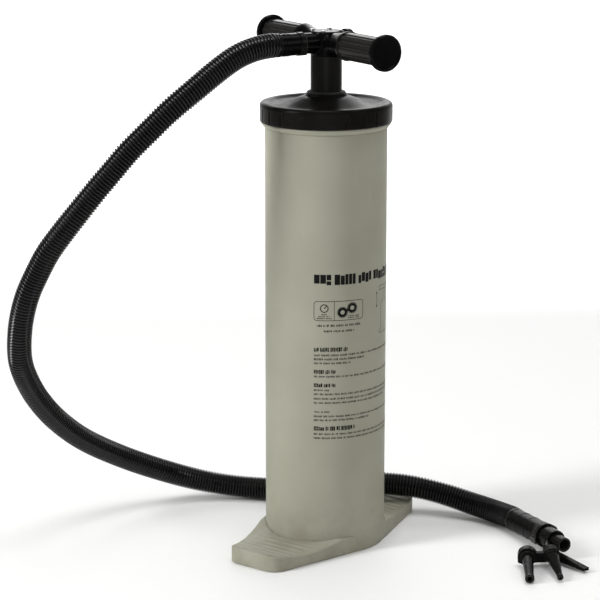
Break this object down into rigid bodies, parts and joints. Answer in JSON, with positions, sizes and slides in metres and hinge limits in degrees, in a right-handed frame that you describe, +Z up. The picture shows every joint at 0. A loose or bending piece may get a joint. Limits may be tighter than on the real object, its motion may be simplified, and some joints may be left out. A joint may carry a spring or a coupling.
{
  "type": "double-action air pump",
  "caption": "Upright double-action air pump: round barrel on a base with foot rests, screw cap, T handle on a sliding rod, ribbed hose and push-in nozzles.",
  "frame": {"origin": "floor under the barrel's axis", "axes": "+Z up along the barrel; Y along the foot rests, +Y towards the rear one; +X to the right"},
  "size_m": [0.5248, 0.4134, 0.539],
  "materials": {
    "shell": "satin moulded",
    "black_shell": "satin moulded",
    "hose_black": "glossy ribbed",
    "cuff_black": "satin worn",
    "seal_rubber": "matte",
    "bright_steel": "brushed"
  },
  "bodies": {
    "pump_body": {"barrel": "shell", "foot_base": "shell", "bottom_plug": "shell", "bump_stop": "seal_rubber", "base_screws": "bright_steel"},
    "gasket_ring": {"cap_gasket": "seal_rubber"},
    "screw_cap": {"cap": "black_shell", "guide_bush": "black_shell", "top_bumper": "seal_rubber", "rod_wiper": "seal_rubber"},
    "hose_line": {"hose": "hose_black", "hose_end_cuff": "cuff_black", "adapter_ring": "seal_rubber", "end_adapter": "cuff_black"},
    "plunger": {"rod_tube": "black_shell", "inner_tube": "bright_steel", "piston_body": "black_shell", "piston_seal": "seal_rubber", "piston_retainer": "bright_steel", "piston_screws": "bright_steel", "hub_body": "black_shell", "hub_cover": "black_shell", "hub_screws": "bright_steel", "valve_seat": "black_shell", "handle_tubes": "bright_steel", "grip_collars": "black_shell", "grip_right": "black_shell", "grip_left": "black_shell", "grip_cap_right": "black_shell", "grip_cap_left": "black_shell", "hose_port": "black_shell", "deflate_port": "black_shell", "connector_ring": "seal_rubber", "hose_connector": "cuff_black"},
    "foot_valve": {"foot_valve_disc": "seal_rubber"},
    "hub_valve": {"hub_valve_disc": "seal_rubber"},
    "nozzle_carrier": {"nozzle_holder": "cuff_black"},
    "wide_nozzle": {"nozzle_wide": "cuff_black"},
    "narrow_nozzle": {"nozzle_narrow": "cuff_black"},
    "flat_nozzle": {"nozzle_flat": "cuff_black"}
  },
  "joints": [
    {"name": "cap_lift", "type": "slide", "parent": "pump_body", "child": "gasket_ring", "axis": [0, 0, 1], "range_m": [0, 0.00401]},
    {"name": "cap_turn", "type": "hinge", "parent": "gasket_ring", "child": "screw_cap", "pos_m": [0, 0, 0.45], "axis": [0, 0, 1], "range_deg": [0, 360]},
    {"name": "handle_turn", "type": "hinge", "parent": "pump_body", "child": "hose_line", "pos_m": [0, 0, 0], "axis": [0, 0, 1], "range_deg": [-25, 25]},
    {"name": "piston_slide", "type": "slide", "parent": "hose_line", "child": "plunger", "axis": [0, 0, 1], "range_m": [0, 0.37], "deforming": ["hose"]},
    {"name": "foot_valve_lift", "type": "slide", "parent": "plunger", "child": "foot_valve", "axis": [0, 0, 1], "range_m": [0, 0.0015]},
    {"name": "hub_valve_lift", "type": "slide", "parent": "plunger", "child": "hub_valve", "axis": [0, 0, 1], "range_m": [0, 0.0015]},
    {"name": "carrier_swing", "type": "hinge", "parent": "hose_line", "child": "nozzle_carrier", "pos_m": [0.22042, 0.09475, 0.01555], "axis": [-0.8824, 0.4692, -0.0349], "range_deg": [0, 75]},
    {"name": "wide_nozzle_pull", "type": "slide", "parent": "nozzle_carrier", "child": "wide_nozzle", "axis": [0.5567, -0.8211, -0.1259], "range_m": [0, 0.006]},
    {"name": "narrow_nozzle_pull", "type": "slide", "parent": "nozzle_carrier", "child": "narrow_nozzle", "axis": [0.6604, -0.73, -0.1757], "range_m": [0, 0.006]},
    {"name": "flat_nozzle_pull", "type": "slide", "parent": "nozzle_carrier", "child": "flat_nozzle", "axis": [0.9644, -0.259, -0.0532], "range_m": [0, 0.006]}
  ],
  "couplings": [
    {"joint": "cap_lift", "follows": "cap_turn", "m_per_rad": 0.00063662}
  ]
}
